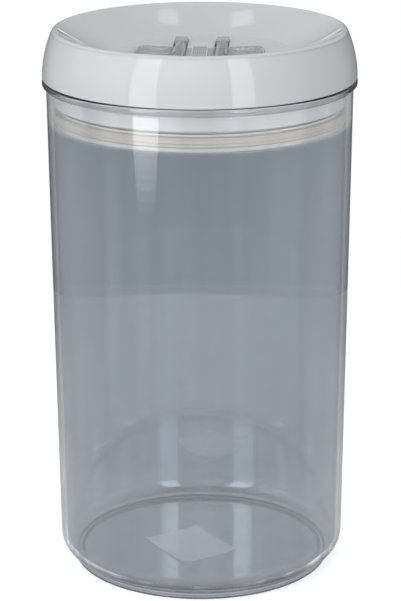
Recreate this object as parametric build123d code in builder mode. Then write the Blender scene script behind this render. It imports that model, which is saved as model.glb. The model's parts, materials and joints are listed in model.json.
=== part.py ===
from build123d import *

import math
import os

# A clear round food canister with a white lift-off lid. Two clear wings in the lid's dish turn eccentric
# cams, which press a plate down on a silicone gasket and seal the lid against the wall.
# Frame: +Z up, origin on the middle of the foot's underside, front at -Y, right at +X. Millimetres.

os.makedirs("parts", exist_ok=True)

# Running clearances and overruns
seat_gap = 0.3          # between pieces of different bodies that rest on each other
fit_gap = 0.05          # between pieces that are joined to each other
journal_gap = 0.06      # radial, round a turning journal
pad_gap = 0.04          # between a cam and the pad that it presses
overrun = 5.0           # how far a cut runs past the faces that it opens

# Canister body
wall = 2.5
body_height = 209.2
wall_radius = 63.0      # outside, just under the rim
wall_taper = 2.6        # how much narrower the wall is just above the rounded base corner
base_level = 2.5        # underside of the base, above the table
base_corner = 9.5       # outside radius of the base corner
rim_overhang = 1.7      # how far the rim stands out past the wall
rim_height = 6.2
rim_flare = 2.2         # height of the slope from the wall out to the rim
rim_round = 1.1
foot_reach = 3.4        # how far the foot ring reaches under the rounded corner
foot_width = 2.8
foot_sink = 1.0         # how far the foot ring runs into the base
foot_round = 0.7

# Clear film label on the canister floor
label_length = 32.0
label_width = 27.0
label_film = 0.15
label_round = 1.0
label_turn = -54.5
label_x = -4.5
label_y = -6.6

# Lid cover
cover_inset = 0.1       # how far its lower edge lies inside the canister's rim
cover_height = 19.9
cover_wall = 2.3
cover_bulge = 46.0      # radius of the leaning outer wall, seen from the side
crest_round = 1.8
crest_rise_share = 0.47  # how far a rounded crest lies under its sharp corner, in crest_round
dish_depth = 10.2
dish_width = 25.6       # from the lower edge, seen from above, to the dish's floor
dish_sag = 0.7          # how far the dish wall hangs under a straight cone
lower_edge_round = 0.5
cover_boss_radius = 3.4
cover_boss_inset = 11.5  # from the plug's outer face to a boss's middle
cover_boss_count = 4

# Plug: the deck under the cover and the skirt that enters the canister
plug_gap = 1.0          # between the plug and the canister's wall
deck_thickness = 3.2
skirt_wall = 2.4
skirt_depth = 10.0      # below the cover's lower edge
skirt_rib_count = 8
skirt_rib_width = 1.6
skirt_rib_reach = 6.0

# Wings
axle_x = 8.6            # distance of each wing's axis from the middle
hub_radius = 2.7
hub_reach = 18.6        # half length of the hub
hub_proud = 1.4         # how far the hub stands over the dish floor
journal_radius = 1.6
journal_length = 4.0
wing_reach = 26.4       # distance of the wing's tip from the middle
wing_root_half = 8.6
wing_tip_half = 12.4
wing_flare_start = 13.0  # where the wing starts to widen
wing_tip_crown = 1.1    # how far the tip's middle stands past its corners
wing_corner = 3.6
wing_thickness = 2.6
wing_proud = 0.7        # how far a flat wing stands over the dish floor
wing_edge_round = 0.6
wing_dimple = 0.9       # depth of the finger dimple in the wing's top
wing_dimple_radius = 20.0
wing_dimple_inset = 7.4  # from the wing's tip to the dimple's middle
wing_nail_chamfer = 1.1
opening_gap = 0.5       # round the wing, in the cover
cam_half = 6.6          # half length of the cam

# Seal
plate_stroke = 1.0
gasket_sealed = 4.3     # height while squeezed
gasket_gap = 0.4        # between the released gasket and the canister's wall
gasket_width = 5.9
gasket_round = 1.5
plate_clear = 0.2       # between the skirt's lower edge and the plate's rim, with the plate raised
plate_rim = 0.8
plate_inset = 2.2       # how far the plate's rim lies inside the gasket's outer face
plate_thickness = 1.7
plate_side_gap = 0.9    # between the plate and the inside of the skirt
disc_rim = 2.3
disc_inset = 1.3        # how far the disc's edge lies inside the gasket's outer face
disc_round = 1.0
disc_collar_wall = 2.2
disc_collar_clear = 0.9  # between the disc's collar and the plate

# Posts, springs and the plate's sleeves
post_circle = 30.0
post_count = 4
post_radius = 3.6
post_guide_gap = 0.25
spring_post_gap = 1.25  # between a post and the spring round it
spring_wire = 0.9
spring_turns = 5
spring_end_gap = 0.1
sleeve_wall = 1.5
sleeve_spring_gap = 1.15  # between a spring and the sleeve round it
sleeve_clear = 2.9      # between a sleeve's top and the deck, with the plate raised
sleeve_top = 1.6

# Tower in the middle of the plate, with the two cam pads
tower_margin_x = 2.4    # from a pad's edge to the tower's side
tower_margin_y = 1.6
tower_wall = 2.0
tower_clear = 0.5       # between the tower's top and the deck, with the plate raised
pad_half_x = 3.5
pad_margin = 0.2        # how far a pad runs past the cam's end
pad_edge = 0.3
well_gap = 0.7          # round the pad, in the deck

# Bearing caps
cap_solid = 4.1         # how far a cap runs on past the journal
cap_edge_round = 0.5
cap_peg_radius = 1.1
cap_peg_length = 3.4
cap_gap = 0.4           # between a cap and the end of its slot in the cover

# Centre block
block_side_gap = 0.5    # between the block and a hub
block_end_gap = 0.1     # between the block and the cover
block_ridge_half = 3.3
block_step = 0.7        # how far its sides lie under its top
block_rib_count = 7
block_rib_width = 0.45
block_rib_depth = 0.4
block_rim = 0.5

# Screws
screw_radius = 1.15
screw_head_radius = 2.6
screw_head_height = 1.6
screw_through_gap = 0.25
screw_head_gap = 0.2
screw_recess_radius = 1.3
screw_recess_depth = 0.8
post_screw_length = 9.0
cover_screw_length = 5.0

# Levels, from the table up
floor_level = base_level + wall
corner_level = base_level + base_corner
rim_level = body_height - rim_height
cover_level = body_height + seat_gap
crest_level = cover_level + cover_height
dish_level = crest_level - dish_depth
deck_level = dish_level - cover_wall - seat_gap
deck_under = deck_level - deck_thickness
skirt_level = cover_level - skirt_depth
axle_level = dish_level + hub_proud - hub_radius
wing_level = dish_level + wing_proud - wing_thickness
plate_rim_level = skirt_level - plate_stroke - plate_clear
plate_under = plate_rim_level - plate_rim
plate_top = plate_under + plate_thickness
gasket_under = plate_under - gasket_sealed
disc_under = gasket_under - disc_rim
sleeve_level = deck_under - plate_stroke - sleeve_clear
sleeve_height = sleeve_level - plate_under
tower_level = deck_under - plate_stroke - tower_clear

# Cam: a round eccentric whose middle lies outwards and down by the same amount while the wing is flat
cam_offset = plate_stroke / 2
cam_radius = hub_radius + cam_offset
pad_level = axle_level - cam_offset - cam_radius - pad_gap
pad_x = axle_x + cam_offset
pad_half_y = cam_half + pad_margin
tower_half_x = pad_x + pad_half_x + tower_margin_x
tower_half_y = pad_half_y + tower_margin_y

# Radii of the canister, and of what its wall goes round
wall_radius_low = wall_radius - wall_taper
corner_middle = wall_radius_low - base_corner
foot_radius = corner_middle + foot_reach
rim_radius = wall_radius + rim_overhang
wall_slope = (wall_radius - wall_radius_low) / (rim_level - corner_level)
mouth_radius = wall_radius - wall + wall_slope * rim_height
plug_radius = wall_radius - wall - plug_gap
gasket_radius = wall_radius - wall - gasket_gap
gasket_inner = gasket_radius - gasket_width
disc_radius = gasket_radius - disc_inset
plate_rim_radius = gasket_radius - plate_inset
plate_radius = plug_radius - skirt_wall - plate_side_gap

# Radii and lengths of the lid
cover_radius = rim_radius - cover_inset
dish_floor_radius = cover_radius - dish_width
cover_boss_circle = plug_radius - cover_boss_inset
wing_dimple_x = wing_reach - wing_dimple_inset
cap_length = journal_length + cap_solid
block_half_x = axle_x - hub_radius - block_side_gap
block_half_y = wing_root_half + opening_gap - block_end_gap
spring_coil_radius = post_radius + spring_post_gap + spring_wire / 2
sleeve_bore_radius = spring_coil_radius + spring_wire / 2 + sleeve_spring_gap
screw_hole_radius = screw_radius + fit_gap
screw_through_radius = screw_radius + screw_through_gap
cover_middle = cover_radius - cover_bulge
crest_corner = crest_level + crest_rise_share * crest_round
crest_angle = math.degrees(math.asin((crest_corner - cover_level) / cover_bulge))
crest_radius = cover_middle + cover_bulge * math.cos(math.radians(crest_angle))
slot_end = hub_reach + seat_gap + cap_length + cap_gap

# Inside of the cover: the dish's underside runs out to the inside of the leaning wall
dish_angle = math.atan2(crest_corner - dish_level, crest_radius - dish_floor_radius)
inner_bulge = cover_bulge - cover_wall
inner_floor = Vector(dish_floor_radius + cover_wall * math.tan(dish_angle / 2), dish_level - cover_wall)
inner_start = inner_floor - Vector(cover_middle, cover_level)
inner_slope = Vector(math.cos(dish_angle), math.sin(dish_angle))
inner_along = inner_start.dot(inner_slope)
inner_run = math.sqrt(inner_along**2 - inner_start.dot(inner_start) + inner_bulge**2) - inner_along
inner_corner = inner_floor + inner_slope * inner_run
inner_angle = math.degrees(math.asin((inner_corner.Y - cover_level) / inner_bulge))
inner_edge = cover_middle + inner_bulge


def wing_outline(grow):
    """Draws the plan of the right wing, larger all round by grow, as lines of the running BuildLine."""
    root = wing_root_half + grow
    tip = wing_tip_half + grow
    reach = wing_reach + grow
    crown = reach - wing_tip_crown
    Polyline((crown, tip), (wing_flare_start, root), (axle_x, root), (axle_x, -root),
             (wing_flare_start, -root), (crown, -tip))
    ThreePointArc((crown, -tip), (reach, 0), (crown, tip))


# Canister body: a drawn wall on a rounded base, a thick rim, and a foot ring
with BuildPart() as canister_body:
    with BuildSketch(Plane.XZ) as body_profile:
        with BuildLine():
            Line((0, base_level), (corner_middle, base_level))
            CenterArc((corner_middle, corner_level), base_corner, -90, 90)
            Line((wall_radius_low, corner_level), (wall_radius, rim_level))
            Spline((wall_radius, rim_level), (rim_radius, rim_level + rim_flare), tangents=((0, 1), (0, 1)))
            Line((rim_radius, rim_level + rim_flare), (rim_radius, body_height))
            Line((rim_radius, body_height), (mouth_radius, body_height))
            Line((mouth_radius, body_height), (wall_radius_low - wall, corner_level))
            CenterArc((corner_middle, corner_level), base_corner - wall, 0, -90)
            Line((corner_middle, floor_level), (0, floor_level))
            Line((0, floor_level), (0, base_level))
        make_face()
        fillet(body_profile.vertices().group_by(Axis.Y)[-1], radius=rim_round)
    revolve(axis=Axis.Z)
    with BuildSketch(Plane.XZ) as foot_profile:
        with Locations((foot_radius - foot_width / 2, 0)):
            Rectangle(foot_width, base_level + foot_sink, align=(Align.CENTER, Align.MIN))
        fillet(foot_profile.vertices().group_by(Axis.Y)[0], radius=foot_round)
    revolve(axis=Axis.Z)
canister_body.part.label = "canister_body"
export_step(canister_body.part, "parts/canister_body.step")

# Label: a bare square of clear film
with BuildPart() as base_label:
    with BuildSketch(Plane.XY.offset(floor_level)):
        with Locations(Location((label_x, label_y, 0), label_turn)):
            RectangleRounded(label_length, label_width, label_round)
    extrude(amount=label_film)
base_label.part.label = "base_label"
export_step(base_label.part, "parts/base_label.step")

# The space inside the lid cover, less the four bosses for its screws
with BuildPart() as cover_space:
    with BuildSketch(Plane.XZ):
        with BuildLine():
            Line((0, cover_level - overrun), (inner_edge, cover_level - overrun))
            Line((inner_edge, cover_level - overrun), (inner_edge, cover_level))
            CenterArc((cover_middle, cover_level), inner_bulge, 0, inner_angle)
            ThreePointArc(inner_corner, (inner_corner + inner_floor) / 2 - Vector(0, dish_sag), inner_floor)
            Line(inner_floor, (0, inner_floor.Y))
            Line((0, inner_floor.Y), (0, cover_level - overrun))
        make_face()
    revolve(axis=Axis.Z)
    with BuildSketch(Plane.XY.offset(deck_level + fit_gap)):
        with PolarLocations(cover_boss_circle, cover_boss_count):
            Circle(cover_boss_radius)
    extrude(amount=cover_height, mode=Mode.SUBTRACT)
    with BuildSketch(Plane.XY.offset(deck_level)):
        with PolarLocations(cover_boss_circle, cover_boss_count):
            Circle(screw_hole_radius)
    extrude(amount=cover_screw_length)

# Lid cover: leaning outer wall, rounded crest and a dish whose floor is open for the wings
with BuildPart() as lid_cover:
    with BuildSketch(Plane.XZ) as cover_profile:
        with BuildLine():
            Line((0, cover_level), (cover_radius, cover_level))
            CenterArc((cover_middle, cover_level), cover_bulge, 0, crest_angle)
            dish_outer = Vector(crest_radius, crest_corner)
            dish_inner = Vector(dish_floor_radius, dish_level)
            ThreePointArc(dish_outer, (dish_outer + dish_inner) / 2 - Vector(0, dish_sag), dish_inner)
            Line((dish_floor_radius, dish_level), (0, dish_level))
            Line((0, dish_level), (0, cover_level))
        make_face()
        fillet(cover_profile.vertices().group_by(Axis.Y)[-1], radius=crest_round)
        fillet(cover_profile.vertices().group_by(Axis.Y)[0].sort_by(Axis.X)[-1], radius=lower_edge_round)
    revolve(axis=Axis.Z)
    add(cover_space.part, mode=Mode.SUBTRACT)
    with BuildSketch(Plane.XY.offset(deck_level)) as wing_openings:
        with BuildLine():
            wing_outline(opening_gap)
        make_face()
        fillet(wing_openings.vertices().group_by(Axis.X)[-1], radius=wing_corner)
        mirror(about=Plane.YZ)
        Rectangle(2 * axle_x, 2 * (wing_root_half + opening_gap))
        with Locations((axle_x, 0), (-axle_x, 0)):
            Rectangle(2 * (hub_radius + seat_gap), 2 * slot_end)
    extrude(amount=dish_depth, mode=Mode.SUBTRACT)
lid_cover.part.label = "lid_cover"
export_step(lid_cover.part, "parts/lid_cover.step")

# Plug: deck and skirt, with a trough for each hub, a well for each cam and four half bearings
with BuildPart() as lid_plug:
    with BuildSketch(Plane.XZ):
        with BuildLine():
            Polyline((0, deck_under), (plug_radius - skirt_wall, deck_under),
                     (plug_radius - skirt_wall, skirt_level), (plug_radius, skirt_level),
                     (plug_radius, deck_level), (0, deck_level), (0, deck_under))
        make_face()
    revolve(axis=Axis.Z)
    fillet(lid_plug.edges().filter_by(GeomType.CIRCLE).group_by(Axis.Z)[0], radius=lower_edge_round)
    with BuildSketch(Plane.XY.offset(deck_under)):
        with PolarLocations(plug_radius - skirt_wall - skirt_rib_reach / 2, skirt_rib_count,
                            start_angle=180 / skirt_rib_count):
            Rectangle(skirt_rib_reach + skirt_wall, skirt_rib_width)
    extrude(amount=-skirt_rib_reach)
    with BuildSketch(Plane.XY.offset(deck_level)):
        for side in (-1, 1):
            for end in (-1, 1):
                with Locations((side * axle_x, end * (slot_end - cap_gap - cap_length / 2))):
                    Rectangle(2 * hub_radius, cap_length)
    extrude(amount=axle_level - deck_level)
    for side in (-1, 1):
        with BuildSketch(Plane.XZ.offset(-hub_reach - seat_gap)):
            with Locations((side * axle_x, axle_level)):
                Circle(hub_radius + seat_gap)
        extrude(amount=2 * (hub_reach + seat_gap), mode=Mode.SUBTRACT)
        with BuildSketch(Plane.XZ.offset(-hub_reach - journal_length - seat_gap)):
            with Locations((side * axle_x, axle_level)):
                Circle(journal_radius + journal_gap)
        extrude(amount=2 * (hub_reach + journal_length + seat_gap), mode=Mode.SUBTRACT)
    with BuildSketch(Plane.XY.offset(deck_level)):
        with Locations((pad_x, 0), (-pad_x, 0)):
            Rectangle(2 * (pad_half_x + well_gap), 2 * (pad_half_y + well_gap))
    extrude(amount=-deck_thickness, mode=Mode.SUBTRACT)
    with BuildSketch(Plane.XY.offset(axle_level)):
        for side in (-1, 1):
            for end in (-1, 1):
                with Locations((side * axle_x, end * (slot_end - cap_gap - 2 * cap_peg_radius))):
                    Circle(cap_peg_radius + fit_gap)
    extrude(amount=-cap_peg_length - fit_gap, mode=Mode.SUBTRACT)
    with Locations(Plane.XY.offset(deck_level)):
        with PolarLocations(post_circle, post_count, start_angle=180 / post_count):
            CounterBoreHole(screw_through_radius, screw_head_radius + screw_head_gap,
                            screw_head_height + screw_head_gap, deck_thickness + overrun)
    with Locations(Plane(origin=(0, 0, deck_under), z_dir=(0, 0, -1))):
        with PolarLocations(cover_boss_circle, cover_boss_count):
            CounterBoreHole(screw_through_radius, screw_head_radius + screw_head_gap,
                            screw_head_height + screw_head_gap, deck_thickness + overrun)
lid_plug.part.label = "lid_plug"
export_step(lid_plug.part, "parts/lid_plug.step")

# Wings: a flat paddle on a round hub, with the eccentric cam under its root and a journal at each end
with BuildPart() as wing_right:
    with BuildSketch(Plane.XY.offset(wing_level)) as paddle:
        with BuildLine():
            wing_outline(0)
        make_face()
        fillet(paddle.vertices().group_by(Axis.X)[-1], radius=wing_corner)
    extrude(amount=wing_thickness)
    fillet(wing_right.faces().sort_by(Axis.Z)[-1].edges().group_by(Axis.X)[1:], radius=wing_edge_round)
    tip_edges = wing_right.faces().sort_by(Axis.Z)[0].edges().group_by(Axis.X)[-1]
    chamfer(tip_edges, length=wing_nail_chamfer)
    with Locations((wing_dimple_x, 0, wing_level + wing_thickness + wing_dimple_radius - wing_dimple)):
        Sphere(wing_dimple_radius, mode=Mode.SUBTRACT)
    with BuildSketch(Plane.XZ):
        with Locations((axle_x, axle_level)):
            Circle(hub_radius)
    extrude(amount=hub_reach, both=True)
    with BuildSketch(Plane.XZ):
        with Locations((axle_x + cam_offset, axle_level - cam_offset)):
            Circle(cam_radius)
    extrude(amount=cam_half, both=True)
    with BuildSketch(Plane.XZ):
        with Locations((axle_x, axle_level)):
            Circle(journal_radius)
    extrude(amount=hub_reach + journal_length, both=True)
wing_right.part.label = "wing_right"
export_step(wing_right.part, "parts/wing_right.step")

with BuildPart() as wing_left:
    add(mirror(wing_right.part, about=Plane.YZ, mode=Mode.PRIVATE))
wing_left.part.label = "wing_left"
export_step(wing_left.part, "parts/wing_left.step")

# Bearing caps: each closes the upper half of one journal and plugs into the deck with a peg
for side, side_name in ((-1, "left"), (1, "right")):
    for end, end_name in ((-1, "front"), (1, "rear")):
        cap_middle = end * (slot_end - cap_gap - cap_length / 2)
        cap_name = "bearing_cap_" + end_name + "_" + side_name
        with BuildPart() as bearing_cap:
            with BuildSketch(Plane.XY.offset(axle_level + fit_gap)):
                with Locations((side * axle_x, cap_middle)):
                    Rectangle(2 * hub_radius, cap_length)
            extrude(amount=hub_radius - fit_gap)
            fillet(bearing_cap.faces().sort_by(Axis.Z)[-1].edges(), radius=cap_edge_round)
            with BuildSketch(Plane.XZ.offset(-end * (hub_reach - overrun))):
                with Locations((side * axle_x, axle_level)):
                    Circle(journal_radius + journal_gap)
            extrude(amount=-end * (journal_length + seat_gap + overrun), mode=Mode.SUBTRACT)
            with BuildSketch(Plane.XY.offset(axle_level + fit_gap)):
                with Locations((side * axle_x, end * (slot_end - cap_gap - 2 * cap_peg_radius))):
                    Circle(cap_peg_radius)
            extrude(amount=-cap_peg_length)
        bearing_cap.part.label = cap_name
        export_step(bearing_cap.part, "parts/" + cap_name + ".step")

# Centre block: a clear insert with a finely ribbed ridge between the two wings
with BuildPart() as centre_block:
    block_top = dish_level + wing_proud
    with BuildSketch(Plane.XZ):
        with BuildLine():
            Polyline((-block_half_x, deck_level + fit_gap), (block_half_x, deck_level + fit_gap),
                     (block_half_x, block_top - block_step), (block_ridge_half, block_top - block_step),
                     (block_ridge_half, block_top), (-block_ridge_half, block_top),
                     (-block_ridge_half, block_top - block_step), (-block_half_x, block_top - block_step),
                     (-block_half_x, deck_level + fit_gap))
        make_face()
    extrude(amount=block_half_y, both=True)
    rib_pitch = 2 * (block_ridge_half - block_rim) / block_rib_count
    with BuildSketch(Plane.XY.offset(block_top)):
        with GridLocations(rib_pitch, 0, block_rib_count, 1):
            Rectangle(block_rib_width, 2 * (block_half_y - block_rim))
    extrude(amount=-block_rib_depth, mode=Mode.SUBTRACT)
centre_block.part.label = "centre_block"
export_step(centre_block.part, "parts/centre_block.step")

# Pressure plate: a thin rim on the gasket, four sleeves round the posts and a hollow tower for the pads
with BuildPart() as pressure_plate:
    with BuildSketch(Plane.XZ):
        with BuildLine():
            Polyline((0, plate_under), (plate_rim_radius, plate_under), (plate_rim_radius, plate_rim_level),
                     (plate_radius, plate_rim_level), (plate_radius, plate_top), (0, plate_top),
                     (0, plate_under))
        make_face()
    revolve(axis=Axis.Z)
    with BuildSketch(Plane.XY.offset(plate_under)):
        with PolarLocations(post_circle, post_count, start_angle=180 / post_count):
            Circle(sleeve_bore_radius + sleeve_wall)
    extrude(amount=sleeve_height)
    with BuildSketch(Plane.XY.offset(plate_under)):
        Rectangle(2 * tower_half_x, 2 * tower_half_y)
    extrude(amount=tower_level - plate_under)
    with BuildSketch(Plane.XY.offset(plate_under)):
        Rectangle(2 * (tower_half_x - tower_wall), 2 * (tower_half_y - tower_wall))
    extrude(amount=tower_level - plate_under - tower_wall, mode=Mode.SUBTRACT)
    with Locations(Plane(origin=(0, 0, plate_under), z_dir=(0, 0, -1))):
        with PolarLocations(post_circle, post_count, start_angle=180 / post_count):
            CounterBoreHole(post_radius + post_guide_gap, sleeve_bore_radius, sleeve_height - sleeve_top,
                            sleeve_height + overrun)
pressure_plate.part.label = "pressure_plate"
export_step(pressure_plate.part, "parts/pressure_plate.step")

# Cam pads: hard strips on the tower that the cams press
for side, side_name in ((-1, "left"), (1, "right")):
    with BuildPart() as cam_pad:
        with BuildSketch(Plane.XY.offset(tower_level + fit_gap)):
            with Locations((side * pad_x, 0)):
                Rectangle(2 * pad_half_x, 2 * pad_half_y)
        extrude(amount=pad_level - tower_level - fit_gap)
        chamfer(cam_pad.faces().sort_by(Axis.Z)[-1].edges(), length=pad_edge)
    cam_pad.part.label = "cam_pad_" + side_name
    export_step(cam_pad.part, "parts/cam_pad_" + side_name + ".step")

# Gasket: a silicone ring with a rounded outer face, drawn as squeezed while the wings are flat
with BuildPart() as gasket:
    with BuildSketch(Plane.XZ) as gasket_profile:
        with Locations((gasket_inner, gasket_under + fit_gap)):
            Rectangle(gasket_radius - gasket_inner, gasket_sealed - 2 * fit_gap, align=(Align.MIN, Align.MIN))
        fillet(gasket_profile.vertices().group_by(Axis.X)[-1], radius=gasket_round)
    revolve(axis=Axis.Z)
gasket.part.label = "gasket"
export_step(gasket.part, "parts/gasket.step")

# Base disc: closes the lid from below, holds the gasket on its collar and rises to the deck in four posts
with BuildPart() as base_disc:
    with BuildSketch(Plane.XZ) as disc_profile:
        with BuildLine():
            collar_radius = gasket_inner - fit_gap
            collar_inner = collar_radius - disc_collar_wall
            collar_level = plate_under - disc_collar_clear
            Polyline((0, disc_under), (disc_radius, disc_under), (disc_radius, gasket_under),
                     (collar_radius, gasket_under), (collar_radius, collar_level),
                     (collar_inner, collar_level), (collar_inner, gasket_under), (0, gasket_under),
                     (0, disc_under))
        make_face()
        fillet(disc_profile.vertices().group_by(Axis.Y)[0].sort_by(Axis.X)[-1], radius=disc_round)
    revolve(axis=Axis.Z)
    with BuildSketch(Plane.XY.offset(gasket_under)):
        with PolarLocations(post_circle, post_count, start_angle=180 / post_count):
            Circle(post_radius)
    extrude(amount=deck_under - fit_gap - gasket_under)
    with Locations(Plane.XY.offset(deck_under - fit_gap)):
        with PolarLocations(post_circle, post_count, start_angle=180 / post_count):
            Hole(screw_hole_radius, post_screw_length)
base_disc.part.label = "base_disc"
export_step(base_disc.part, "parts/base_disc.step")

# Return springs: four steel coils round the posts, which lift the plate when the wings are raised
spring_foot = gasket_under + spring_end_gap + spring_wire / 2
spring_head = sleeve_level - sleeve_top - spring_end_gap - spring_wire / 2
spring_pitch = (spring_head - spring_foot) / spring_turns
spring_names = ("rear_right", "rear_left", "front_left", "front_right")
for number, spring_name in enumerate(spring_names):
    angle = math.radians(180 / post_count + number * 360 / post_count)
    spring_x = post_circle * math.cos(angle)
    spring_y = post_circle * math.sin(angle)
    with BuildPart() as return_spring:
        with BuildLine() as spring_path:
            Helix(spring_pitch, spring_head - spring_foot, spring_coil_radius,
                  center=(spring_x, spring_y, spring_foot))
        with BuildSketch(Plane(origin=spring_path.line @ 0, z_dir=spring_path.line % 0)):
            Circle(spring_wire / 2)
        sweep(is_frenet=True)
    return_spring.part.label = "return_spring_" + spring_name
    export_step(return_spring.part, "parts/return_spring_" + spring_name + ".step")
print("least gap between a spring's turns", round(spring_pitch - spring_wire, 2))


# Screws: pan heads with a plain round drive recess
def screw_set(circle, count, start, head_level, up, length):
    """Returns identical screws on a circle, with the heads' seats at head_level and the shanks along up."""
    seat = Plane(origin=(0, 0, head_level), z_dir=(0, 0, up))
    with BuildPart() as screws:
        with BuildSketch(seat):
            with PolarLocations(circle, count, start_angle=start):
                Circle(screw_radius)
        extrude(amount=length)
        with BuildSketch(seat):
            with PolarLocations(circle, count, start_angle=start):
                Circle(screw_head_radius)
        extrude(amount=-screw_head_height)
        with BuildSketch(seat.offset(-screw_head_height)):
            with PolarLocations(circle, count, start_angle=start):
                Circle(screw_recess_radius)
        extrude(amount=screw_recess_depth, mode=Mode.SUBTRACT)
    return screws.part


post_seat = deck_level - screw_head_height - screw_head_gap + fit_gap
post_screws = screw_set(post_circle, post_count, 180 / post_count, post_seat, -1,
                        post_seat - deck_under + post_screw_length - 2 * fit_gap - screw_head_gap)
post_screws.label = "post_screws"
export_step(post_screws, "parts/post_screws.step")

cover_seat = deck_under + screw_head_height + screw_head_gap - fit_gap
cover_screws = screw_set(cover_boss_circle, cover_boss_count, 0, cover_seat, 1,
                         deck_level - cover_seat + cover_screw_length - screw_head_gap)
cover_screws.label = "cover_screws"
export_step(cover_screws, "parts/cover_screws.step")
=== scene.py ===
"""A clear round food canister with a white lift-off lid, finished round its packed construction."""
import json
import math

import bpy
from mathutils import Matrix, Vector


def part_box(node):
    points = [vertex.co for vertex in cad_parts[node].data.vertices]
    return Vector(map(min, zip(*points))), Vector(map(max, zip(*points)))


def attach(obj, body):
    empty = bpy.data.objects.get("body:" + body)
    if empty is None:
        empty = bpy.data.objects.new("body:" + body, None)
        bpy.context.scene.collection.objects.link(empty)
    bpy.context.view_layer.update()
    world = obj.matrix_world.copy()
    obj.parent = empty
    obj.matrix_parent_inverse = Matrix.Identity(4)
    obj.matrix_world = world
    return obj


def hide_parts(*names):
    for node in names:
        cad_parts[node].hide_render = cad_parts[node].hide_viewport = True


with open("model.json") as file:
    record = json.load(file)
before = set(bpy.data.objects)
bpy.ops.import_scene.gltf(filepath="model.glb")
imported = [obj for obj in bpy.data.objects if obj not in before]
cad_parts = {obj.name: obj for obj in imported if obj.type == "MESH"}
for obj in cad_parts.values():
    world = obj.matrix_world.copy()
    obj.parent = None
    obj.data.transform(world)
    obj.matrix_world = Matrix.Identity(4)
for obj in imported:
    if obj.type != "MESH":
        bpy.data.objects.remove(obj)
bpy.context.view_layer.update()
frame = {"nodes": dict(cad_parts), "record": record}

MM = 0.001
FULL_TURN = 2 * math.pi

# Camera, as fitted to the photograph: the lens in millimetres, its place in metres
LENS = 147.36
SENSOR = 36.0
CAMERA_REACH = 0.9915           # from the canister's axis
CAMERA_HEIGHT = 0.4176
CAMERA_AZIMUTH = math.radians(2.5)
CAMERA_PITCH = math.radians(17.08)
CAMERA_ROLL = -0.0032           # radians

# Canister wall. The sizes of all pieces are in millimetres
WALL = 2.5
BASE_LEVEL = 2.5                # the base's underside, inside the foot ring
BASE_CORNER = 9.5
BASE_MIDDLE = 50.9              # radius of the circle round which the base corner turns
WALL_RADIUS = 63.0              # at the rim's level
WALL_RADIUS_LOW = 60.4          # just over the base corner
RIM_HEIGHT = 6.2                # from where the wall has its full radius up to the mouth
FLARE_START = 2.7               # over that level
RIM_FLARE = 1.5                 # the height over which the wall flares out to the rim
RIM_ROUND = 1.1
FOOT_RADIUS = 54.3
FOOT_WIDTH = 2.8
FOOT_ROUND = 0.8
FOOT_FILLET = 1.3               # where the foot ring's inside meets the base
GATE_RADIUS = 2.2               # the moulding gate in the middle of the base
GATE_HEIGHT = 0.7
GATE_BEVEL = 0.5
CORNER_STEPS = 16
FLARE_STEPS = 8
WALL_SUPPORT = 0.6              # from a bend to the ring of points that keeps its shading even

# Lid cover
COVER_WALL = 2.3
COVER_BULGE = 46.0              # radius of the outer wall's bulge
COVER_BULGE_STEPS = 24
INNER_BULGE_SHARE = 0.84        # of the outer bulge's turn
INNER_BULGE_STEPS = 20
CREST_ROUND = 1.8
CREST_SHARP = 0.85              # how far the sharp crest would stand over the rounded one
CREST_CLEAR = 2                 # points of the bulge left out to make room for the crest's round
DISH_DEPTH = 10.2
DISH_FLOOR_RADIUS = 39.0
DISH_SAG = 0.7
DISH_STEPS = 20
DISH_CLEAR = 3                  # points of the dish's slope left out for the crest's round
DISH_ROUND = 1.2
COVER_EDGE_ROUND = 0.5

# Openings in the dish's floor for the wings and their bearings
AXLE_X = 8.6
HUB_RADIUS = 2.7
HUB_GAP = 0.3
SLOT_END = 27.4
SLOT_ROUND = 0.6
WING_REACH = 26.4
WING_ROOT_HALF = 8.6
WING_ROOT_ROUND = 4.0
WING_TIP_HALF = 12.4
WING_FLARE_START = 13.0
WING_TIP_CROWN = 1.1            # how far the tip's middle stands out past its corners
WING_TIP_ROUND = 60.0
WING_CORNER = 3.6
WING_GAP = 0.5
CUT_PAST = 2                    # how far a cutter reaches past the floor it cuts
OPENING_BEVEL = 0.25

# Film on the floor
LABEL_LENGTH = 32.0
LABEL_WIDTH = 27.0
LABEL_THICKNESS = 0.15
LABEL_TURN = 54.5               # degrees
LABEL_MIDDLE = (-4.5, -6.6)
LABEL_SEAT = 0.06               # over the floor, so that the two faces don't flicker
LABEL_CORNER_LIFT = 0.7
LABEL_CORNER_FLAT = 1.45        # a corner lifts past this sum of the shares along and across, which reaches 2
LABEL_SIDE_LIFT = 0.5
LABEL_SIDE_FLAT = 0.72          # the long side lifts past this share of the half width
LABEL_SIDE_FADE = 0.5           # how much more the side lifts at one end, and less at the other

# Gasket
GASKET_INNER = 54.2
GASKET_ROUND = 0.7
GASKET_SETBACK = 0.2            # of the rounded corners behind the lips
GASKET_INNER_ROUND = 0.3
LIP_DEPTH = 0.25
LIP_TAPER = 0.1                 # how far the lips fall back towards the ring's top and bottom
LIP_MARGIN = 0.6                # over and under the lips
LIP_STEPS = 12

# Fineness of turned pieces
LATHE_STEPS = 240

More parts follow.
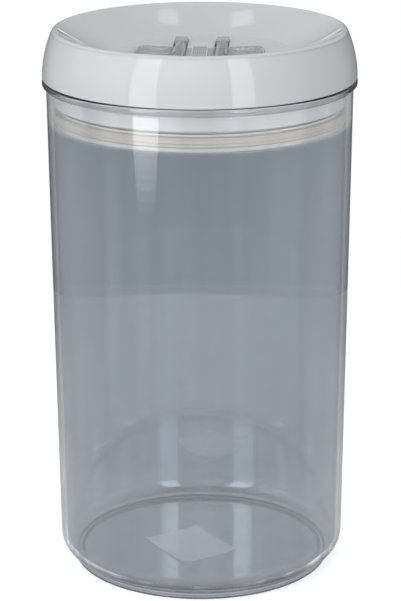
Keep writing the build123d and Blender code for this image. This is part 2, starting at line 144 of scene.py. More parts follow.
# Tints of the clear wall: each level, in millimetres, with its colour. The smoky grey is a tint that is also
# painted shade, standing in for the grey room seen through the clear plastic; its rise and fall up the height
# is painted shade, and it stops at the mouth
BODY_HEIGHT = 209.2
WALL_TINTS_AND_SHADE = [(0.0, (0.545, 0.572, 0.60)), (5.2, (0.545, 0.572, 0.60)), (8.0, (0.565, 0.60, 0.642)),
              (45.0, (0.565, 0.60, 0.642)), (80.0, (0.60, 0.635, 0.683)), (125.0, (0.587, 0.623, 0.667)),
              (160.0, (0.587, 0.623, 0.667)), (191.0, (0.535, 0.577, 0.62)), (192.0, (0.98, 0.985, 0.99))]
EDGE_SHADE = 0.35               # painted shade: share of the tint that is left where the wall turns away
CORNER_SHADE = 0.55             # painted shade: share of the tint that is left on the outside of the base's rounded corner
FOOT_TINT = (0.35, 0.37, 0.40, 1)
# Absorption in the clear plastic: a smoky tint that is also painted shade, deepest where the view runs long
# through the wall
SMOKE_AND_SHADE = {"Color": (0.40, 0.44, 0.48, 1), "Density": 112.0}

# Where the foot's tint and the corner's painted shade set in and end: radii and levels in millimetres
FOOT_RADII = (52.8, 53.2)
FOOT_TOP = (2.1, 2.4)
CORNER_FOOT = (3.0, 3.2)
CORNER_TOP = (6.0, 11.0)

# A line through the plastic, from one radius to another between two levels. What lies past it is outside
SKIN_LEVELS = (5.0, 12.0)
SKIN_RADII = (56.0, 59.2)
SKIN_EDGE = (0.0, 0.2)

# Gloss inside, which mirrors the lamps in the base's corner. It is fainter on the floor and up the wall
INSIDE_IOR = 3.6
INSIDE_FOOT = (4.8, 5.0)        # levels in millimetres between which it sets in
INSIDE_TOP = (40.0, 60.0)       # and fades out
FLOOR_EDGE = (5.1, 5.4)         # where the floor ends and the corner starts
FLOOR_GLOSS = 0.62
CORNER_END = (11.0, 14.0)       # where the corner ends and the wall starts
WALL_GLOSS = 0.72

# Handle: tints of the clear grey plastic, darker and paler
HANDLE_DARK = (0.46, 0.49, 0.51)
HANDLE_PALE = (0.56, 0.59, 0.61)

# Ridge of the block between the wings, in millimetres, with a painted highlight on its edges and painted
# shade in its grooves
BLOCK_HIGHLIGHT_EDGE = (2.75, 2.95)       # from its middle, where the painted highlight on its edges sets in
BLOCK_HIGHLIGHT_DEPTH = (0.5, 0.6)   # under its top, where that painted highlight ends
BLOCK_SHADE_DEPTH = (0.1, 0.3)       # under its top, where the painted shade in its grooves sets in
BLOCK_TINTS = ((0.68, 0.73, 0.75, 1), (0.80, 0.84, 0.86, 1))
# Painted shade down in the grooves
BLOCK_GROOVE_SHADE = (0.52, 0.56, 0.58, 1)

# Light, with lengths in metres
ROOM_LIGHT = 0.30               # at eye level and below
CEILING_LIGHT = 0.56
ROOM_EYE_LEVEL = 0.15           # how bright the room's front and back show in a mirror, at eye level
ROOM_SIDES = 0.6
SCATTERED = 0.85                # share of what shows through clear plastic that also lights pieces behind it
STRIP_REACH = 0.75              # of the two strips that show as upright bands in the wall and the lid
STRIP_TOP = 1.0
STRIP_RADIANCE = 3.2
LEFT_STRIP_AZIMUTH = -39.4
LEFT_STRIP_WIDTH = 0.255
STRIP_FADE_TOP = 0.025          # from here down the left strip fades out
STRIP_FADE = 0.063              # over this length
STRIP_FADE_STEPS = 8
STRIP_FADE_TAPER = 0.4          # how much narrower it gets there
BACK_STRIP = {"reach": 0.6, "low": 0.215, "high": 0.32, "radiance": 1.4}    # the two thin strips behind

# Floor, with lengths in metres
TABLE_RADIUS = 0.435
TABLE_MIDDLE = -0.03
FLOOR_BEHIND = (20.0, 300.0)    # millimetres behind the axis over which the floor turns grey
FLOOR_GLOW = 0.57
FLOOR_GLOW_BEHIND = 0.23        # added to the glow where the floor is greyer
MIRRORED_GLOW = 0.2             # what a mirror shows of the floor's glow in front
CONTACT_SHADE = 0.75            # share of the glow lost close round the foot, seen through the plastic
CONTACT_INNER = (53.0, 54.0)    # millimetres from the axis, where that shade sets in
CONTACT_OUTER = (56.5, 58.5)    # and where it ends


# Modelling helpers

def deselect():
    bpy.ops.object.select_all(action="DESELECT")


def activate(piece):
    deselect()
    piece.select_set(True)
    bpy.context.view_layer.objects.active = piece


def trace(name, points):
    """Starts a piece as a string of edges through points in millimetres, and leaves it open for editing."""
    deselect()
    bpy.ops.mesh.primitive_plane_add(size=MM, location=Vector(points[0]) * MM)
    piece = bpy.context.object
    piece.name = name
    piece.data.name = name
    bpy.ops.object.transform_apply(location=True)
    bpy.ops.object.mode_set(mode="EDIT")
    bpy.ops.mesh.select_all(action="SELECT")
    bpy.ops.mesh.merge(type="CENTER")
    here = Vector(points[0])
    for there in points[1:]:
        step = (Vector(there) - here) * MM
        bpy.ops.mesh.extrude_region_move(TRANSFORM_OT_translate={"value": step})
        here = Vector(there)
    bpy.ops.mesh.select_all(action="SELECT")
    return piece


def smooth(piece, angle=35):
    activate(piece)
    bpy.ops.object.shade_smooth_by_angle(angle=math.radians(angle), keep_sharp_edges=False)


def lathe(name, outline, steps=LATHE_STEPS):
    """Turns a closed outline of (radius, height) points, in millimetres, round the Z axis."""
    closed = list(outline)
    if outline[0][0] > 0:
        closed.append(outline[0])
    piece = trace(name, [(radius, 0, height) for radius, height in closed])
    bpy.ops.mesh.spin(steps=steps, angle=FULL_TURN, center=(0, 0, 0), axis=(0, 0, 1))
    bpy.ops.mesh.select_all(action="SELECT")
    bpy.ops.mesh.remove_doubles(threshold=0.01 * MM)
    bpy.ops.mesh.normals_make_consistent(inside=False)
    bpy.ops.object.mode_set(mode="OBJECT")
    smooth(piece)
    return piece


def plate(name, outline, low, high):
    """Raises a flat outline of (x, y) points, in millimetres, from one level to another."""
    piece = trace(name, [(x, y, low) for x, y in outline])
    bpy.ops.mesh.edge_face_add()
    bpy.ops.mesh.extrude_region_move(TRANSFORM_OT_translate={"value": (0, 0, (high - low) * MM)})
    bpy.ops.mesh.select_all(action="SELECT")
    bpy.ops.mesh.normals_make_consistent(inside=False)
    bpy.ops.object.mode_set(mode="OBJECT")
    return piece


def arc(middle, radius, start, end, steps):
    """Returns the points of an arc, with its angles in degrees."""
    points = []
    for step in range(steps + 1):
        angle = math.radians(start + (end - start) * step / steps)
        points.append((middle[0] + radius * math.cos(angle), middle[1] + radius * math.sin(angle)))
    return points


def rounded(corners, steps=6, support=0.3):
    """Turns each (x, y, rounding) corner of a closed outline on an arc, with a point before and after."""
    points = []
    for number, (x, y, rounding) in enumerate(corners):
        corner = Vector((x, y))
        if rounding == 0:
            points.append((x, y))
            continue
        back = (Vector(corners[number - 1][:2]) - corner).normalized()
        on = (Vector(corners[(number + 1) % len(corners)][:2]) - corner).normalized()
        half = math.acos(max(-1, min(1, back.dot(on)))) / 2
        run = rounding / math.tan(half)
        middle = corner + (back + on).normalized() * rounding / math.sin(half)
        first = corner + back * run - middle
        turn = math.pi - 2 * half
        if back.x * on.y - back.y * on.x > 0:
            turn = -turn
        points.append(tuple(corner + back * (run + support)))
        for step in range(steps + 1):
            angle = turn * step / steps
            points.append((middle.x + first.x * math.cos(angle) - first.y * math.sin(angle),
                           middle.y + first.x * math.sin(angle) + first.y * math.cos(angle)))
        points.append(tuple(corner + on * (run + support)))
    return points


def modify(piece, kind, **settings):
    """Adds a modifier with the settings and applies it."""
    activate(piece)
    bpy.ops.object.modifier_add(type=kind)
    modifier = piece.modifiers[-1]
    for key, value in settings.items():
        setattr(modifier, key, value)
    bpy.ops.object.modifier_apply(modifier=modifier.name)


def cut(piece, cutter):
    """Takes the cutter's shape out of the piece."""
    modify(piece, "BOOLEAN", object=cutter, operation="DIFFERENCE", solver="EXACT")
    bpy.data.objects.remove(cutter)


def dress(piece, material):
    piece.data.materials.clear()
    piece.data.materials.append(material)


def stand_for(piece, body, node, material):
    """Gives a finished piece its body and its finish, and hides the CAD node that it stands for."""
    dress(piece, material)
    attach(piece, body)
    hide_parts(node)


# Shader helpers

class Value:
    """A shader socket that takes part in sums."""

    def __init__(self, finish, socket):
        self.finish = finish
        self.socket = socket

    def maths(self, operation, first, second):
        return self.finish.node("ShaderNodeMath", {"operation": operation}, {0: first, 1: second})

    def __add__(self, other):
        return self.maths("ADD", self, other)

    def __radd__(self, other):
        return self.maths("ADD", other, self)

    def __sub__(self, other):
        return self.maths("SUBTRACT", self, other)

    def __rsub__(self, other):
        return self.maths("SUBTRACT", other, self)

    def __mul__(self, other):
        return self.maths("MULTIPLY", self, other)

    def __rmul__(self, other):
        return self.maths("MULTIPLY", other, self)

    def larger(self, other):
        return self.maths("MAXIMUM", self, other)


class Finish:
    """The nodes of one material or of the world."""

    def __init__(self, tree):
        self.tree = tree
        tree.nodes.clear()

    def node(self, kind, settings=None, sockets=None, out=0):
        made = self.tree.nodes.new(kind)
        for key, value in (settings or {}).items():
            if key == "stops":
                elements = made.color_ramp.elements
                while len(elements) < len(value):
                    elements.new(1)
                for element, (position, colour) in zip(elements, value):
                    element.position = position
                    element.color = colour
            else:
                setattr(made, key, value)
        for key, value in (sockets or {}).items():
            if isinstance(value, Value):
                self.tree.links.new(value.socket, made.inputs[key])
            else:
                made.inputs[key].default_value = value
        if made.outputs:
            return Value(self, made.outputs[out])

    def ray(self, kind):
        """1 for rays of the kind, and 0 for others."""
        return self.node("ShaderNodeLightPath", out=kind)

    def seen(self):
        """1 for rays that show a thing itself to the camera, straight or through clear plastic."""
        straight = self.span(self.ray("Diffuse Depth"), 0.0, 1.0, to_low=1.0, to_high=SCATTERED)
        return self.ray("Is Camera Ray").larger(self.ray("Is Transmission Ray") * straight)

    def along(self, vector, axis):
        return self.node("ShaderNodeSeparateXYZ", {}, {"Vector": vector}, out=axis)

    def place(self, stretch=(1, 1, 1)):
        """The place on the piece, in metres, stretched along its axes."""
        here = self.node("ShaderNodeTexCoord", out="Object")
        return self.node("ShaderNodeMapping", {}, {"Vector": here, "Scale": stretch})

    def noise(self, place, scale, detail=3.0, roughness=0.5):
        return self.node("ShaderNodeTexNoise", {}, {"Vector": place, "Scale": scale, "Detail": detail,
                                                    "Roughness": roughness})

    def span(self, value, low, high, to_low, to_high):
        """Carries a value from one range to another, held at the ends."""
        return self.node("ShaderNodeMapRange", {}, {"Value": value, "From Min": low, "From Max": high,
                                                    "To Min": to_low, "To Max": to_high})

    def over(self, value, limits, start=0.0):
        """Rises from a start to 1 between two limits in millimetres."""
        return self.span(value, limits[0] * MM, limits[1] * MM, start, 1.0)

    def under(self, value, limits, end=0.0):
        """Falls from 1 to an end between two limits in millimetres."""
        return self.span(value, limits[0] * MM, limits[1] * MM, 1.0, end)

    def length(self, vector):
        return self.node("ShaderNodeVectorMath", {"operation": "LENGTH"}, {0: vector}, out="Value")

    def mix(self, share, first, second):
        return self.node("ShaderNodeMix", {"data_type": "RGBA"}, {0: share, 6: first, 7: second}, out=2)

    def bump(self, height, distance):
        return self.node("ShaderNodeBump", {}, {"Height": height, "Distance": distance, "Strength": 1.0})

    def plastic(self, sockets):
        return self.node("ShaderNodeBsdfPrincipled", {}, sockets)

    def output(self, surface, volume=None):
        sockets = {"Surface": surface}
        if volume:
            sockets["Volume"] = volume
        self.node("ShaderNodeOutputMaterial", {}, sockets)


def new_material(name):
    material = bpy.data.materials.new(name)
    material.use_nodes = True
    return material, Finish(material.node_tree)


def grey(level):
    return (level, level, level, 1.0)


# Materials

def let_lamps_through(finish, glass, colour):
    """Lets the lamps' rays through a clear wall, tinted by the colour at each face."""
    lamp_ray = finish.ray("Is Shadow Ray")
    clear = finish.node("ShaderNodeBsdfTransparent", {}, {"Color": (*colour, 1)})
    return finish.node("ShaderNodeMixShader", {}, {0: lamp_ray, 1: glass, 2: clear})


def wall_tint_and_shade(finish, height, radius, outside):
    """Smoky tint by height that is partly painted shade, clear at the mouth and deeper in the foot, with
    painted shade on the base's outer corner and where the wall turns away.
    """
    # Tint up the height: its grey and its rise and fall are partly painted shade
    stops = [(level / BODY_HEIGHT, (*colour, 1)) for level, colour in WALL_TINTS_AND_SHADE]
    tint = finish.node("ShaderNodeValToRGB", {"stops": stops}, {"Fac": height * (1 / (BODY_HEIGHT * MM))})
    foot = finish.over(radius, FOOT_RADII) * finish.under(height, FOOT_TOP)
    tint = finish.mix(foot, tint, FOOT_TINT)
    # Painted shade on the outside of the base's rounded corner, darkening what shows through it
    corner = outside * finish.over(height, CORNER_FOOT) * finish.under(height, CORNER_TOP)
    tint = finish.mix(corner * (1 - CORNER_SHADE), tint, grey(0.0))
    clouds = finish.noise(finish.place(), scale=16.0)
    tint = finish.mix(finish.span(clouds, 0.3, 0.7, to_low=0.0, to_high=0.06), tint, grey(0.5))
    streaks = finish.noise(finish.place((1, 1, 0.04)), scale=80.0, detail=2.0)
    tint = finish.mix(finish.span(streaks, 0.4, 0.65, to_low=0.0, to_high=0.2), tint, grey(0.4))
    # Painted shade where the wall turns away from the view
    turned = finish.node("ShaderNodeLayerWeight", {}, {"Blend": 0.5}, out="Facing")
    return finish.mix(finish.span(turned, 0.74, 0.9, to_low=0.0, to_high=1 - EDGE_SHADE), tint, grey(0.0))


def clear_wall():
    """Polished clear plastic with a smoky tint that is partly painted shade, flow clouds, streaks and rubs.
    """
    material, finish = new_material("clear_wall")
    height = finish.along(finish.place(), "Z")
    radius = finish.length(finish.place((1, 1, 0)))
    skin = finish.span(height, *(level * MM for level in SKIN_LEVELS), *(reach * MM for reach in SKIN_RADII))
    outside = finish.over(radius - skin, SKIN_EDGE)
    inside = finish.over(height, INSIDE_FOOT) * finish.under(height, INSIDE_TOP) * (1 - outside)
    inside = inside * finish.over(height, FLOOR_EDGE, start=FLOOR_GLOSS)
    inside = inside * finish.under(height, CORNER_END, end=WALL_GLOSS)
    rubs = finish.noise(finish.place((1, 1, 0.25)), scale=90.0, detail=5.0, roughness=0.6)
    ripple = finish.noise(finish.place((1, 1, 0.15)), scale=30.0, detail=2.0)
    glass = finish.plastic({"Base Color": wall_tint_and_shade(finish, height, radius, outside), "IOR": 1.57,
                            "Roughness": finish.span(rubs, 0.45, 0.8, to_low=0.012, to_high=0.06),
                            "Transmission Weight": 1.0, "Normal": finish.bump(ripple, 0.05 * MM),
                            "Coat Weight": inside, "Coat IOR": INSIDE_IOR, "Coat Roughness": 0.02})
    smoke_and_shade = finish.node("ShaderNodeVolumeAbsorption", {}, SMOKE_AND_SHADE)
    finish.output(let_lamps_through(finish, glass, (0.99, 0.99, 0.99)), smoke_and_shade)
    return material


def rubbed_plastic(finish, tint, clearness, roughness):
    """Finishes a tint as clear or milky plastic with fine rubs along the X axis."""
    rubs = finish.noise(finish.place((0.3, 1, 1)), scale=900.0, detail=4.0, roughness=0.6)
    plastic = finish.plastic({"Base Color": tint, "Roughness": finish.span(rubs, 0.4, 0.75, *roughness),
                              "IOR": 1.5, "Transmission Weight": clearness,
                              "Normal": finish.bump(rubs, 0.01 * MM)})
    finish.output(let_lamps_through(finish, plastic, (0.85, 0.86, 0.87)))


def clear_handle(name, clearness, paleness):
    """Grey clear or milky plastic of the wings and what holds them."""
    material, finish = new_material(name)
    dark = [level * paleness for level in HANDLE_DARK]
    pale = [level * paleness for level in HANDLE_PALE]
    tint = finish.mix(finish.noise(finish.place(), scale=120.0), (*dark, 1), (*pale, 1))
    rubbed_plastic(finish, tint, clearness, roughness=(0.06, 0.16))
    return material


def ribbed_block():
    """Milky grey plastic of the block between the wings: a painted highlight on its ridge edges and painted
    shade down in its grooves.
    """
    material, finish = new_material("ribbed_block")
    here = finish.place()
    across = finish.along(here, "X")
    across = across.larger(0 - across)
    under_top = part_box("centre_block")[1].z - finish.along(here, "Z")
    # A painted highlight on the ridge's edges, and painted shade down in its grooves
    painted_highlight = finish.over(across, BLOCK_HIGHLIGHT_EDGE) * finish.under(under_top, BLOCK_HIGHLIGHT_DEPTH)
    groove = finish.over(under_top, BLOCK_SHADE_DEPTH) * (1 - painted_highlight)
    tint = finish.mix(finish.noise(here, scale=120.0), *BLOCK_TINTS)
    tint = finish.mix(groove, finish.mix(painted_highlight, tint, grey(0.95)), BLOCK_GROOVE_SHADE)
    rubbed_plastic(finish, tint, clearness=0.35, roughness=(0.08, 0.2))
    return material


def clear_film():
    """Thin clear film with a faint haze, whose glow stands in for the light that such a haze scatters."""
    material, finish = new_material("clear_film")
    haze = finish.noise(finish.place(), scale=220.0, detail=4.0)
    glass = finish.plastic({"Base Color": finish.mix(haze, (0.93, 0.93, 0.94, 1), (0.98, 0.98, 0.98, 1)),
                            "Roughness": finish.span(haze, 0.3, 0.7, to_low=0.06, to_high=0.14),
                            "IOR": 1.5, "Transmission Weight": 0.7,
                            "Sheen Weight": 0.6, "Sheen Roughness": 0.4,
                            "Emission Color": (1.0, 0.92, 0.9, 1), "Emission Strength": 0.045,
                            "Normal": finish.bump(haze, 0.05 * MM)})
    finish.output(let_lamps_through(finish, glass, (0.9, 0.9, 0.9)))
    return material


def opaque(name, first, second, cloud_scale, roughness, grain_scale, grain_depth, **constants):
    """A moulded or drawn surface: two close colours in clouds, uneven gloss and a fine grain."""
    material, finish = new_material(name)
    here = finish.place()
    clouds = finish.noise(here, cloud_scale, detail=4.0)
    grain = finish.noise(here, grain_scale, detail=2.0)
    gloss = finish.noise(here, cloud_scale * 3, detail=5.0, roughness=0.6)
    sockets = {"Base Color": finish.mix(clouds, (*first, 1), (*second, 1)),
               "Roughness": finish.span(gloss, 0.3, 0.7, *roughness),
               "Normal": finish.bump(grain, grain_depth * MM)}
    for key, value in constants.items():
        sockets[key.replace("_", " ")] = value
    finish.output(finish.plastic(sockets))
    return material


def floor_finish():
    """White floor, greyer behind: lit by the lamps, with a glow that fades it into the white around it."""
    material, finish = new_material("floor")
    here = finish.place()
    behind = finish.over(finish.along(here, "Y"), FLOOR_BEHIND)
    mottle = finish.mix(finish.noise(here, scale=40.0), grey(0.88), grey(0.9))
    white = finish.node("ShaderNodeBsdfDiffuse", {}, {"Color": finish.mix(behind, mottle, grey(0.4))})
    radius = finish.length(here)
    shade = finish.over(radius, CONTACT_INNER) * finish.under(radius, CONTACT_OUTER) * CONTACT_SHADE
    through = 1 - shade * (1 - finish.ray("Is Camera Ray"))
    shown = finish.seen() * through * (behind * FLOOR_GLOW_BEHIND + FLOOR_GLOW)
    mirrored = finish.ray("Is Glossy Ray") * (1 - behind) * MIRRORED_GLOW
    glow = finish.node("ShaderNodeEmission", {}, {"Color": grey(1.0), "Strength": mirrored.larger(shown)})
    finish.output(finish.node("ShaderNodeAddShader", {}, {0: white, 1: glow}))
    return material


# Room, lamps, camera and floor

def room():
    """Pale light all round, white behind the canister. A mirror shows a white ceiling and darker walls."""
    world = bpy.data.worlds.new("room")
    bpy.context.scene.world = world
    world.use_nodes = True
    finish = Finish(world.node_tree)
    way = finish.node("ShaderNodeTexCoord", out="Generated")
    across = finish.along(way, "X")
    upward = finish.along(way, "Z")
    lit = finish.span(upward, 0.0, 1.0, ROOM_LIGHT, CEILING_LIGHT)
    sides = finish.span(across.larger(0 - across), 0.55, 0.9, ROOM_EYE_LEVEL, ROOM_SIDES)
    ceiling = finish.span(upward, 0.05, 0.5, ROOM_EYE_LEVEL, 1.0)
    mirrored = (sides.larger(ceiling) - lit) * finish.ray("Is Glossy Ray") + lit
    strength = mirrored.larger(finish.seen())
    light = finish.node("ShaderNodeBackground", {}, {"Color": grey(1.0), "Strength": strength})
    finish.node("ShaderNodeOutputWorld", {}, {"Surface": light})


def lamp(name, place, aim, width, length, radiance, lean=0):
    """A flat lamp that faces the aimed point, leaning by some degrees, and that the camera doesn't see."""
    data = bpy.data.lights.new(name, "AREA")
    data.shape = "RECTANGLE"
    data.size = width
    data.size_y = length
    data.energy = radiance * math.pi * width * length
    panel = bpy.data.objects.new(name, data)
    bpy.context.scene.collection.objects.link(panel)
    turn = (place - aim).to_track_quat("Z", "Y").to_matrix().to_4x4()
    panel.matrix_world = Matrix.Translation(place) @ turn @ Matrix.Rotation(math.radians(lean), 4, "Z")
    panel.visible_camera = False


def bearing(azimuth, reach, height):
    """A place at an azimuth from the camera's side, towards the right, and at a reach from the axis."""
    angle = CAMERA_AZIMUTH + math.radians(azimuth)
    return Vector((reach * math.sin(angle), -reach * math.cos(angle), height))


def softbox(name, azimuth, reach, low, high, width, radiance):
    """An upright lamp that faces the axis."""
    middle = (low + high) / 2
    lamp(name, bearing(azimuth, reach, middle), Vector((0, 0, middle)), width, high - low, radiance)


def overhead(name, azimuth, elevation, lean, width, length, radiance):
    """A lamp over the lid, a metre from it, that shows as a pale patch in the dish."""
    tilt = math.radians(elevation)
    lid = Vector((0, 0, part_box("lid_cover")[1].z))
    lamp(name, lid + bearing(azimuth, math.cos(tilt), math.sin(tilt)), lid, width, length, radiance, lean)


def lamps():
    softbox("left_strip", LEFT_STRIP_AZIMUTH, STRIP_REACH, STRIP_FADE_TOP, STRIP_TOP, LEFT_STRIP_WIDTH,
            STRIP_RADIANCE)
    for step in range(STRIP_FADE_STEPS):
        share = (step + 0.5) / STRIP_FADE_STEPS
        low = STRIP_FADE_TOP - STRIP_FADE * (step + 1) / STRIP_FADE_STEPS
        high = low + STRIP_FADE / STRIP_FADE_STEPS
        width = LEFT_STRIP_WIDTH * (1 - STRIP_FADE_TAPER * share ** 2)
        softbox("left_strip_fade", LEFT_STRIP_AZIMUTH, STRIP_REACH, low, high, width,
                STRIP_RADIANCE * (1 - share))
    softbox("right_strip", azimuth=30, reach=STRIP_REACH, low=0.065, high=STRIP_TOP, width=0.21,
            radiance=STRIP_RADIANCE)
    softbox("left_window", azimuth=-80, reach=1.6, low=0.2, high=1.8, width=1.6, radiance=0.6)
    softbox("front_window", azimuth=-15, reach=1.8, low=0.6, high=2.2, width=1.4, radiance=0.4)
    softbox("left_back_strip", azimuth=182.37, width=0.011, **BACK_STRIP)
    softbox("right_back_strip", azimuth=176.66, width=0.012, **BACK_STRIP)
    overhead("right_top", azimuth=163.9, elevation=62.2, lean=20, width=0.077, length=0.167, radiance=1.9)
    overhead("left_top", azimuth=-160.6, elevation=58.8, lean=-25, width=0.088, length=0.178, radiance=1.9)


def camera():
    data = bpy.data.cameras.new("photo_camera")
    data.lens = LENS
    data.sensor_width = SENSOR
    seen_from = bpy.data.objects.new("photo_camera", data)
    bpy.context.scene.collection.objects.link(seen_from)
    turn = Matrix.Rotation(CAMERA_AZIMUTH, 4, "Z") @ Matrix.Rotation(math.pi / 2 - CAMERA_PITCH, 4, "X")
    place = Matrix.Translation(bearing(0, CAMERA_REACH, CAMERA_HEIGHT))
    seen_from.matrix_world = place @ turn @ Matrix.Rotation(CAMERA_ROLL, 4, "Z")
    bpy.context.scene.camera = seen_from


def floor():
    deselect()
    bpy.ops.mesh.primitive_circle_add(vertices=256, radius=TABLE_RADIUS, fill_type="NGON",
                                      location=(0, TABLE_MIDDLE, 0))
    piece = bpy.context.object
    piece.name = "floor"
    bpy.ops.object.transform_apply(location=True)
    dress(piece, floor_finish())


# Pieces

def canister_shell():
    """The clear wall with its rim, rounded base corner, foot ring and moulding gate."""
    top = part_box("canister_body")[1]
    rim_radius = top.x / MM
    height = top.z / MM
    rim_level = height - RIM_HEIGHT
    corner_level = BASE_LEVEL + BASE_CORNER
    foot_inner = FOOT_RADIUS - FOOT_WIDTH
    foot_angle = -math.degrees(math.acos((FOOT_RADIUS - BASE_MIDDLE) / BASE_CORNER))
    slope = (WALL_RADIUS - WALL_RADIUS_LOW) / (rim_level - corner_level)
    mouth = WALL_RADIUS - WALL + slope * RIM_HEIGHT
    gate_level = BASE_LEVEL - GATE_HEIGHT
    gate = [(0, gate_level), (GATE_RADIUS - GATE_BEVEL, gate_level), (GATE_RADIUS, BASE_LEVEL)]
    foot = rounded([(foot_inner, BASE_LEVEL, FOOT_FILLET), (foot_inner, 0, FOOT_ROUND),
                    (FOOT_RADIUS, 0, FOOT_ROUND), (FOOT_RADIUS, BASE_LEVEL, 0), (0, BASE_LEVEL, 0)])[:-2]
    outer_corner = arc((BASE_MIDDLE, corner_level), BASE_CORNER, foot_angle, 0, CORNER_STEPS)
    flare_level = rim_level + FLARE_START
    flare_radius = WALL_RADIUS + slope * FLARE_START
    outer_wall = [(WALL_RADIUS_LOW + slope * WALL_SUPPORT, corner_level + WALL_SUPPORT),
                  (flare_radius - slope * WALL_SUPPORT, flare_level - WALL_SUPPORT)]
    flare = []
    for step in range(FLARE_STEPS + 1):
        share = step / FLARE_STEPS
        eased = share * share * (3 - 2 * share)
        flare.append((flare_radius + (rim_radius - flare_radius) * eased, flare_level + RIM_FLARE * share))
    rim = rounded([(rim_radius, flare_level + RIM_FLARE, 0), (rim_radius, height, RIM_ROUND),
                   (mouth, height, RIM_ROUND), (WALL_RADIUS_LOW - WALL, corner_level, 0)])[1:-1]
    inner_wall = [(WALL_RADIUS_LOW - WALL + slope * WALL_SUPPORT, corner_level + WALL_SUPPORT)]
    inner_corner = arc((BASE_MIDDLE, corner_level), BASE_CORNER - WALL, 0, -90, CORNER_STEPS)
    inner_floor = [(BASE_MIDDLE - WALL_SUPPORT, BASE_LEVEL + WALL), (0, BASE_LEVEL + WALL)]
    outline = gate + foot + outer_corner + outer_wall + flare + rim + inner_wall + inner_corner + inner_floor
    return lathe("canister_shell", outline)


def wing_outline(grow):
    """The plan of both wings and the space between them, larger all round by grow."""
    root = WING_ROOT_HALF + grow
    tip = WING_TIP_HALF + grow
    reach = WING_REACH + grow
    crown = reach - WING_TIP_CROWN
    half = [(WING_FLARE_START, -root, WING_ROOT_ROUND), (crown, -tip, WING_CORNER),
            (reach, 0, WING_TIP_ROUND),
            (crown, tip, WING_CORNER), (WING_FLARE_START, root, WING_ROOT_ROUND)]
    other = [(-x, -y, rounding) for x, y, rounding in half]
    return rounded(half + other)


def cover_outline(edge_level, edge_radius, crest_level, dish_level):
    """The cover's section, closed along the axis: bulged wall, rounded crest, sagging dish and its floor."""
    bulge_middle = (edge_radius - COVER_BULGE, edge_level)
    crest_angle = math.degrees(math.asin((crest_level + CREST_SHARP - edge_level) / COVER_BULGE))
    outer = arc(bulge_middle, COVER_BULGE, 0, crest_angle, COVER_BULGE_STEPS)
    inner = arc(bulge_middle, COVER_BULGE - COVER_WALL, 0, crest_angle * INNER_BULGE_SHARE, INNER_BULGE_STEPS)
    crest_radius, crest_sharp = outer[-1]
    slope = []
    for step in range(1, DISH_STEPS):
        share = step / DISH_STEPS
        slope.append((crest_radius + (DISH_FLOOR_RADIUS - crest_radius) * share,
                      crest_sharp + (dish_level - crest_sharp) * share - 4 * DISH_SAG * share * (1 - share)))
    tilt = math.atan2(crest_sharp - dish_level, crest_radius - DISH_FLOOR_RADIUS)
    inner_radius = DISH_FLOOR_RADIUS + COVER_WALL * math.tan(tilt / 2)
    ceiling_level = dish_level - COVER_WALL
    corners = [(x, y, 0) for x, y in outer[1:-CREST_CLEAR]]
    corners += [(crest_radius, crest_sharp, CREST_ROUND)]
    corners += [(x, y, 0) for x, y in slope[DISH_CLEAR:]]
    corners += [(DISH_FLOOR_RADIUS, dish_level, DISH_ROUND), (0, dish_level, 0), (0, ceiling_level, 0),
                (inner_radius, ceiling_level, 0)]
    corners += [(x, y, 0) for x, y in reversed(inner)]
    corners += [(edge_radius, edge_level, COVER_EDGE_ROUND)]
    outline = rounded(corners, steps=8, support=0.15)
    start = outline.index((0, ceiling_level))
    return outline[start:] + outline[:start]


def lid_shell():
    """The white cover: leaning wall, rounded crest and a dish whose floor is open for the wings."""
    low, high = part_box("lid_cover")
    dish_level = high.z / MM - DISH_DEPTH
    piece = lathe("lid_shell", cover_outline(low.z / MM, high.x / MM, high.z / MM, dish_level))
    levels = (dish_level - COVER_WALL - CUT_PAST, dish_level + CUT_PAST)
    cut(piece, plate("wing_cutter", wing_outline(WING_GAP), *levels))
    slot_half = HUB_RADIUS + HUB_GAP
    for side in (-1, 1):
        left = side * AXLE_X - slot_half
        right = side * AXLE_X + slot_half
        slot = rounded([(left, -SLOT_END, SLOT_ROUND), (right, -SLOT_END, SLOT_ROUND),
                        (right, SLOT_END, SLOT_ROUND), (left, SLOT_END, SLOT_ROUND)], steps=4, support=0.1)
        cut(piece, plate("slot_cutter", slot, *levels))
    modify(piece, "BEVEL", width=OPENING_BEVEL * MM, segments=3, limit_method="ANGLE",
           angle_limit=math.radians(60), use_clamp_overlap=True)
    smooth(piece)
    return piece


def label_film():
    """A bare rectangle of clear film on the canister's floor, its corners and a long side lifted a bit."""
    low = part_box("base_label")[0]
    deselect()
    bpy.ops.mesh.primitive_grid_add(x_subdivisions=48, y_subdivisions=40, size=1, location=(0, 0, 0))
    piece = bpy.context.object
    piece.name = "label_film"
    bpy.ops.transform.resize(value=(LABEL_LENGTH * MM, LABEL_WIDTH * MM, 1))
    bpy.ops.object.transform_apply(scale=True)
    for point in piece.data.vertices:
        along = point.co.x / (LABEL_LENGTH * MM / 2)
        across = point.co.y / (LABEL_WIDTH * MM / 2)
        corner = max(0, abs(along) + abs(across) - LABEL_CORNER_FLAT) / (2 - LABEL_CORNER_FLAT)
        side = max(0, -across - LABEL_SIDE_FLAT) / (1 - LABEL_SIDE_FLAT)
        side_lift = LABEL_SIDE_LIFT * side ** 2 * (1 - LABEL_SIDE_FADE * along)
        point.co.z = (LABEL_CORNER_LIFT * corner ** 2 + side_lift) * MM
    modify(piece, "SOLIDIFY", thickness=LABEL_THICKNESS * MM, offset=1.0)
    activate(piece)
    bpy.ops.transform.rotate(value=math.radians(LABEL_TURN), orient_axis="Z", center_override=(0, 0, 0))
    bpy.ops.transform.translate(value=(LABEL_MIDDLE[0] * MM, LABEL_MIDDLE[1] * MM, low.z + LABEL_SEAT * MM))
    bpy.ops.object.transform_apply(location=True, rotation=True, scale=True)
    smooth(piece)
    return piece


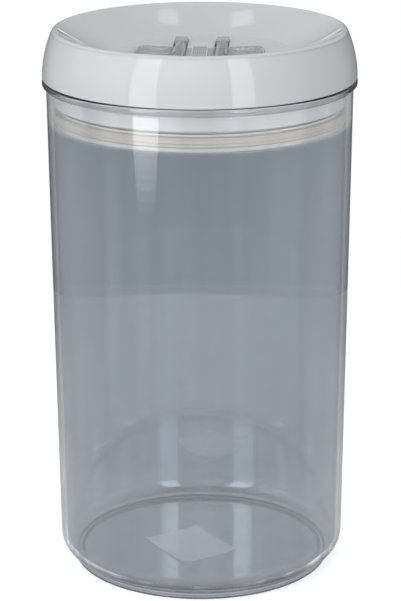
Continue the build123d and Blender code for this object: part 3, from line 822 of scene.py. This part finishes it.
def gasket_ring():
    """The silicone ring, rounded outside, with two fine lips."""
    low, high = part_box("gasket")
    outer = high.x / MM
    bottom = low.z / MM
    top = high.z / MM
    lip_height = top - bottom - 2 * LIP_MARGIN
    lips = []
    for step in range(1, LIP_STEPS):
        share = step / LIP_STEPS
        groove = LIP_DEPTH * (1 - math.cos(4 * math.pi * share)) / 2
        taper = LIP_TAPER * abs(2 * share - 1) ** 3
        lips.append((outer - groove - taper, bottom + LIP_MARGIN + lip_height * share, 0))
    corner = outer - GASKET_SETBACK
    corners = [(GASKET_INNER, bottom, GASKET_INNER_ROUND), (corner, bottom, GASKET_ROUND)] + lips
    corners += [(corner, top, GASKET_ROUND), (GASKET_INNER, top, GASKET_INNER_ROUND)]
    return lathe("gasket_ring", rounded(corners, steps=5, support=0.02))


def main():
    camera()
    room()
    lamps()
    floor()

    wall = clear_wall()
    handle = clear_handle("clear_handle", clearness=0.8, paleness=1.05)
    bearing_plastic = clear_handle("bearing_plastic", clearness=0.35, paleness=1.0)
    film = clear_film()
    gloss_white = opaque("white_gloss", (0.63, 0.657, 0.67), (0.645, 0.672, 0.685), cloud_scale=25.0,
                         roughness=(0.04, 0.08), grain_scale=1500.0, grain_depth=0.001,
                         Specular_IOR_Level=0.4)
    satin_white = opaque("white_moulded", (0.90, 0.90, 0.90), (0.93, 0.93, 0.925), cloud_scale=40.0,
                         roughness=(0.3, 0.45), grain_scale=3000.0, grain_depth=0.01)
    silicone = opaque("silicone", (0.72, 0.68, 0.61), (0.76, 0.72, 0.65), cloud_scale=60.0,
                      roughness=(0.35, 0.5), grain_scale=2500.0, grain_depth=0.01)
    steel = opaque("steel", (0.60, 0.60, 0.61), (0.68, 0.68, 0.68), cloud_scale=300.0,
                   roughness=(0.25, 0.4), grain_scale=5000.0, grain_depth=0.004, Metallic=1.0)
    grey_pad = opaque("grey_pad", (0.42, 0.43, 0.44), (0.48, 0.49, 0.5), cloud_scale=200.0,
                      roughness=(0.35, 0.5), grain_scale=4000.0, grain_depth=0.006)

    stand_for(canister_shell(), "canister", "canister_body", wall)
    stand_for(label_film(), "canister", "base_label", film)
    stand_for(lid_shell(), "lid", "lid_cover", gloss_white)
    stand_for(gasket_ring(), "lid", "gasket", silicone)

    finishes = {"clear_wall": wall, "clear_handle": handle, "clear_film": film, "white_gloss": gloss_white,
                "white_moulded": satin_white, "silicone": silicone, "steel": steel, "grey_pad": grey_pad}
    for part in frame["record"]["subparts"]:
        dress(frame["nodes"][part["node"]], finishes[part["material_slot"]])
        if part["node"].startswith("bearing_cap"):
            dress(frame["nodes"][part["node"]], bearing_plastic)
    dress(frame["nodes"]["centre_block"], ribbed_block())

    bpy.context.scene.view_settings.view_transform = "Standard"


main()
bpy.context.view_layer.update()
